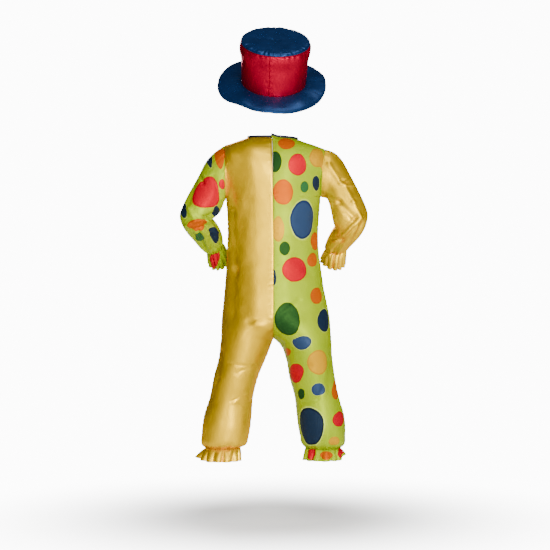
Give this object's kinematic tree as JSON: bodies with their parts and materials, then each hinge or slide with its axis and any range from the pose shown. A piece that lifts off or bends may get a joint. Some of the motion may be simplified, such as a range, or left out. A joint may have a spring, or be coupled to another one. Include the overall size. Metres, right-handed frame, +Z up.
{
  "type": "clown costume",
  "caption": "Child's one-piece half-and-half clown jumpsuit with frilled cuffs and ankles, in its worn form, and its padded top hat.",
  "frame": {"origin": "centre of the neck's base, where the shoulders carry the jumpsuit", "axes": "+Z up, front faces -Y, +X is the wearer's left"},
  "size_m": [0.4601, 0.2428, 1.0671],
  "materials": {
    "yellow_satin": "plain satin",
    "spotted_satin": "satin printed with round spots",
    "navy_binding": "folded binding",
    "pale_tape": "touch-and-close tape",
    "red_satin": "crushed satin",
    "blue_satin": "satin over padding"
  },
  "bodies": {
    "root": {"back_left": "yellow_satin", "front_left": "yellow_satin", "back_right": "spotted_satin", "front_right": "spotted_satin", "left_sleeve": "spotted_satin", "right_sleeve": "yellow_satin", "left_cuff_frill": "spotted_satin", "right_cuff_frill": "yellow_satin", "left_ankle_frill": "yellow_satin", "right_ankle_frill": "spotted_satin", "neck_binding": "navy_binding", "closure_tape": "pale_tape", "hat_crown_side": "red_satin", "hat_crown_top": "blue_satin", "hat_brim": "blue_satin"}
  },
  "joints": []
}
